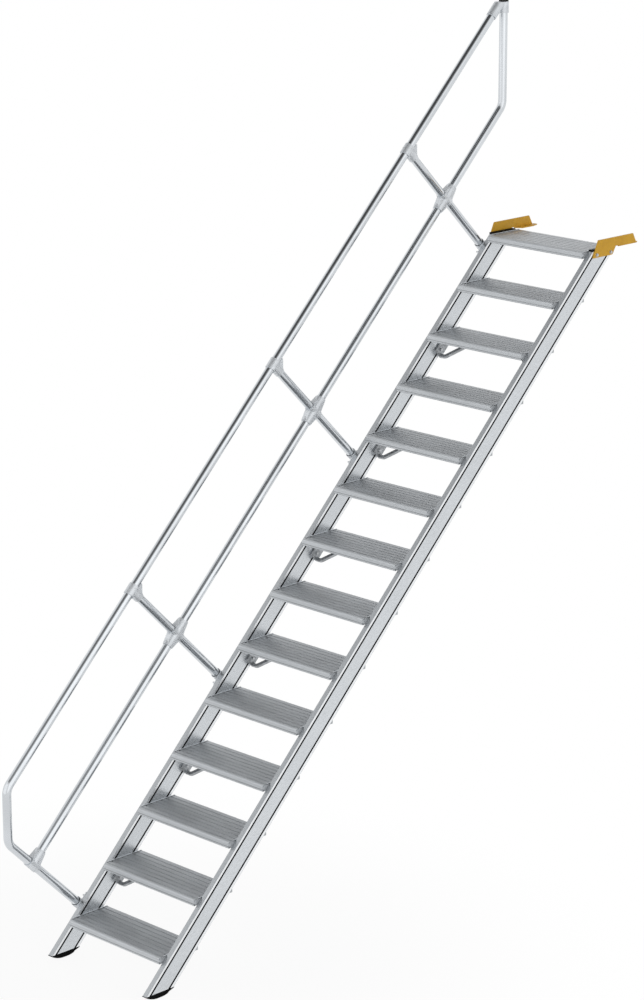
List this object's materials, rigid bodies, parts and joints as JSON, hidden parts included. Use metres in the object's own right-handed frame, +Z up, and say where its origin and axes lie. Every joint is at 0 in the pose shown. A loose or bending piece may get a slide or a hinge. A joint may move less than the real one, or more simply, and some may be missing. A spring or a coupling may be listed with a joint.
{
  "type": "industrial access stair",
  "caption": "Aluminium industrial stair at 45 degrees with ribbed treads, a tubular handrail on one side, rubber feet and landing brackets.",
  "frame": {"origin": "on the underside of the left landing flange, between its two anchor holes", "axes": "+X across the steps to the right when climbing, +Y up the flight towards the landing, +Z up"},
  "size_m": [0.7032, 3.3784, 3.974],
  "materials": {
    "stringer_aluminium": "drawn extrusion, fine brushed grain",
    "tread_aluminium": "ribbed extrusion, matt",
    "brace_aluminium": "matt flat bar",
    "tube_aluminium": "satin drawn tube",
    "cast_aluminium": "fine shot-blasted casting",
    "orange_paint": "semi-gloss powder coat",
    "black_rubber": "matt",
    "black_plastic": "matt moulded"
  },
  "bodies": {
    "root": {"left_stringer": "stringer_aluminium", "right_stringer": "stringer_aluminium", "left_foot": "black_rubber", "right_foot": "black_rubber", "stringer_caps": "black_plastic", "tread_01": "tread_aluminium", "tread_02": "tread_aluminium", "tread_03": "tread_aluminium", "tread_04": "tread_aluminium", "tread_05": "tread_aluminium", "tread_06": "tread_aluminium", "tread_07": "tread_aluminium", "tread_08": "tread_aluminium", "tread_09": "tread_aluminium", "tread_10": "tread_aluminium", "tread_11": "tread_aluminium", "tread_12": "tread_aluminium", "tread_13": "tread_aluminium", "tread_14": "tread_aluminium", "brace_pair_02": "brace_aluminium", "brace_pair_04": "brace_aluminium", "brace_pair_06": "brace_aluminium", "brace_pair_08": "brace_aluminium", "brace_pair_10": "brace_aluminium", "brace_pair_12": "brace_aluminium", "left_landing_bracket": "orange_paint", "right_landing_bracket": "orange_paint", "top_rail": "tube_aluminium", "top_rail_bend": "tube_aluminium", "knee_rail": "tube_aluminium", "top_post": "tube_aluminium", "strut_1": "tube_aluminium", "strut_2": "tube_aluminium", "strut_3": "tube_aluminium", "strut_4": "tube_aluminium", "rail_tee_1": "cast_aluminium", "rail_tee_2": "cast_aluminium", "rail_tee_3": "cast_aluminium", "knee_cross_1": "cast_aluminium", "knee_cross_2": "cast_aluminium", "knee_cross_3": "cast_aluminium", "bottom_tee": "cast_aluminium", "top_elbow": "cast_aluminium", "handrail_shoe_1": "cast_aluminium", "handrail_shoe_2": "cast_aluminium", "handrail_shoe_3": "cast_aluminium", "handrail_shoe_4": "cast_aluminium", "post_cap": "black_plastic"}
  },
  "joints": []
}
